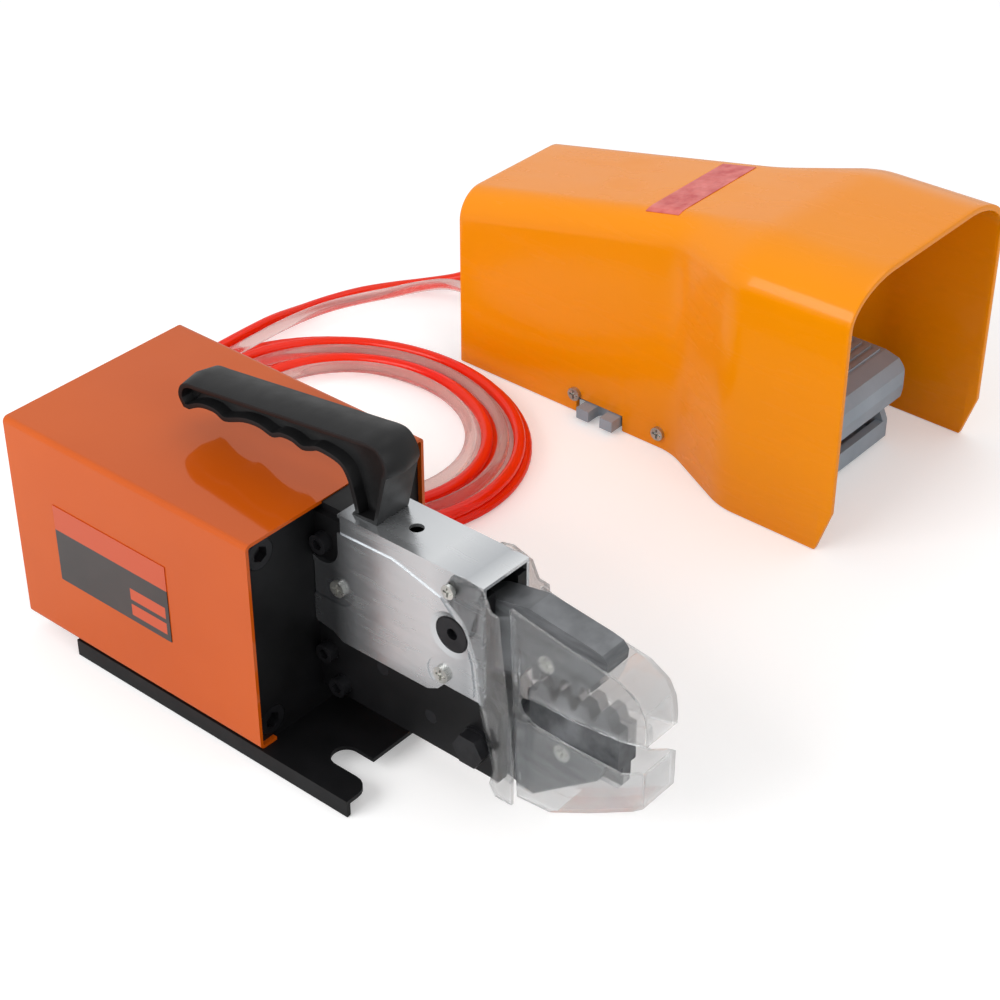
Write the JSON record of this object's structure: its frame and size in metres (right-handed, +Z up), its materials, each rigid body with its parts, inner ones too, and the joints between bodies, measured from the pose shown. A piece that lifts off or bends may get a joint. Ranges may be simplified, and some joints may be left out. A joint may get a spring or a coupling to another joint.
{
  "type": "pneumatic crimping tool with foot valve",
  "caption": "Pneumatic crimping tool with a cylinder housing, plated head, toothed dies in a clear guard and a finger-grip handle, joined by two coiled air hoses to a hooded pedal valve.",
  "frame": {"origin": "on the bench, below the middle of the whole set without its hoses", "axes": "+X from the housing's rear towards the jaws and the pedal, +Y from the crimping tool towards the foot valve, +Z up"},
  "size_m": [0.4011, 0.3984, 0.1469],
  "materials": {
    "orange_paint": "orange powder coat with a slight orange-peel gloss",
    "label_black": "printed foil label, kept bare",
    "black_steel": "satin black paint",
    "dark_screw": "black oxide",
    "cast_aluminium": "machined aluminium",
    "brass_tube": "plain brass",
    "seal_rubber": "matte black rubber",
    "bright_steel": "ground steel",
    "plated_steel": "bright zinc plated sheet",
    "zinc_screw": "zinc plated screw",
    "jaw_steel": "blackened tool steel",
    "die_steel": "blackened tool steel with bright wear on the teeth",
    "clear_guard": "clear polycarbonate",
    "black_plastic": "moulded black plastic",
    "collet_plastic": "blue moulded plastic",
    "orange_hose": "translucent orange-red polyurethane",
    "clear_hose": "translucent pinkish clear polyurethane",
    "hood_plastic": "semi-gloss orange-yellow moulded plastic",
    "red_tape": "thin worn tape",
    "grey_casting": "grey painted casting"
  },
  "bodies": {
    "frame": {"housing_cover": "orange_paint", "label_plate": "label_black", "front_head": "black_steel", "rear_head": "black_steel", "divider": "cast_aluminium", "barrels": "cast_aluminium", "tie_screws": "dark_screw", "transfer_tube": "brass_tube", "rod_bush": "brass_tube", "rod_seals": "seal_rubber", "base_plate": "black_steel", "base_screws": "dark_screw", "support_pin": "dark_screw", "frame_plates": "black_steel", "spacers": "black_steel", "frame_screws": "dark_screw", "head_cover": "plated_steel", "cover_screws": "zinc_screw", "lower_jaw": "jaw_steel", "lower_die": "die_steel", "lower_die_screw": "zinc_screw", "pivot_pin": "dark_screw", "hex_bolt": "dark_screw", "jaw_dowel": "dark_screw", "jaw_guard": "clear_guard", "guard_screws": "zinc_screw", "handle": "black_plastic", "handle_screw": "zinc_screw", "tool_fittings": "plated_steel", "orange_hose_in": "orange_hose", "orange_hose_coil": "orange_hose", "orange_hose_out": "orange_hose", "clear_hose_in": "clear_hose", "clear_hose_coil": "clear_hose", "clear_hose_out": "clear_hose", "valve_hood": "hood_plastic", "hood_screws": "zinc_screw", "hood_tape": "red_tape", "valve_base": "grey_casting", "rubber_feet": "seal_rubber", "pedal_pin": "bright_steel", "pedal_spring": "bright_steel", "valve_body": "cast_aluminium", "valve_fittings": "plated_steel"},
    "piston_train": {"pistons": "cast_aluminium", "piston_seals": "seal_rubber", "piston_rod": "bright_steel", "wedge": "bright_steel"},
    "moving_jaw": {"upper_jaw": "jaw_steel", "upper_die": "die_steel", "upper_die_screw": "zinc_screw", "thrust_pin": "bright_steel"},
    "thrust_wheel": {"thrust_roller": "bright_steel"},
    "support_wheel": {"support_roller": "bright_steel"},
    "pedal_lever": {"pedal": "grey_casting"},
    "valve_spool": {"spool": "bright_steel"},
    "release_tool_a": {"tool_collet_a": "collet_plastic"},
    "release_tool_b": {"tool_collet_b": "collet_plastic"},
    "release_valve_a": {"valve_collet_a": "collet_plastic"},
    "release_valve_b": {"valve_collet_b": "collet_plastic"}
  },
  "joints": [
    {"name": "piston_slide", "type": "slide", "parent": "frame", "child": "piston_train", "axis": [1, 0, 0], "range_m": [0, 0.02076]},
    {"name": "jaw_hinge", "type": "hinge", "parent": "frame", "child": "moving_jaw", "pos_m": [0.068, -0.1488, 0.08], "axis": [0, 1, 0], "range_deg": [0, 8]},
    {"name": "thrust_roller_spin", "type": "hinge", "parent": "moving_jaw", "child": "thrust_wheel", "pos_m": [0.03107, -0.1488, 0.06976], "axis": [0, 1, 0], "continuous": true},
    {"name": "support_roller_spin", "type": "hinge", "parent": "frame", "child": "support_wheel", "pos_m": [0.03, -0.1488, 0.04285], "axis": [0, 1, 0], "continuous": true},
    {"name": "pedal_hinge", "type": "hinge", "parent": "frame", "child": "pedal_lever", "pos_m": [-0.033, 0.1337, 0.038], "axis": [0, 1, 0], "range_deg": [0, 7], "stiffness_Nm_per_rad": 6, "springref_deg": -171.89, "deforming": ["pedal_spring"]},
    {"name": "spool_slide", "type": "slide", "parent": "frame", "child": "valve_spool", "axis": [-1, 0, 0], "range_m": [0, 0.0024]},
    {"name": "release_slide_tool_a", "type": "slide", "parent": "frame", "child": "release_tool_a", "axis": [1, 0, 0], "range_m": [0, 0.001], "stiffness_N_per_m": 800},
    {"name": "release_slide_tool_b", "type": "slide", "parent": "frame", "child": "release_tool_b", "axis": [1, 0, 0], "range_m": [0, 0.001], "stiffness_N_per_m": 800},
    {"name": "release_slide_valve_a", "type": "slide", "parent": "frame", "child": "release_valve_a", "axis": [1, 0, 0], "range_m": [0, 0.001], "stiffness_N_per_m": 800},
    {"name": "release_slide_valve_b", "type": "slide", "parent": "frame", "child": "release_valve_b", "axis": [1, 0, 0], "range_m": [0, 0.001], "stiffness_N_per_m": 800}
  ],
  "couplings": [
    {"joint": "jaw_hinge", "follows": "piston_slide", "rad_per_m": 6.72},
    {"joint": "spool_slide", "follows": "pedal_hinge", "m_per_rad": 0.0188}
  ]
}
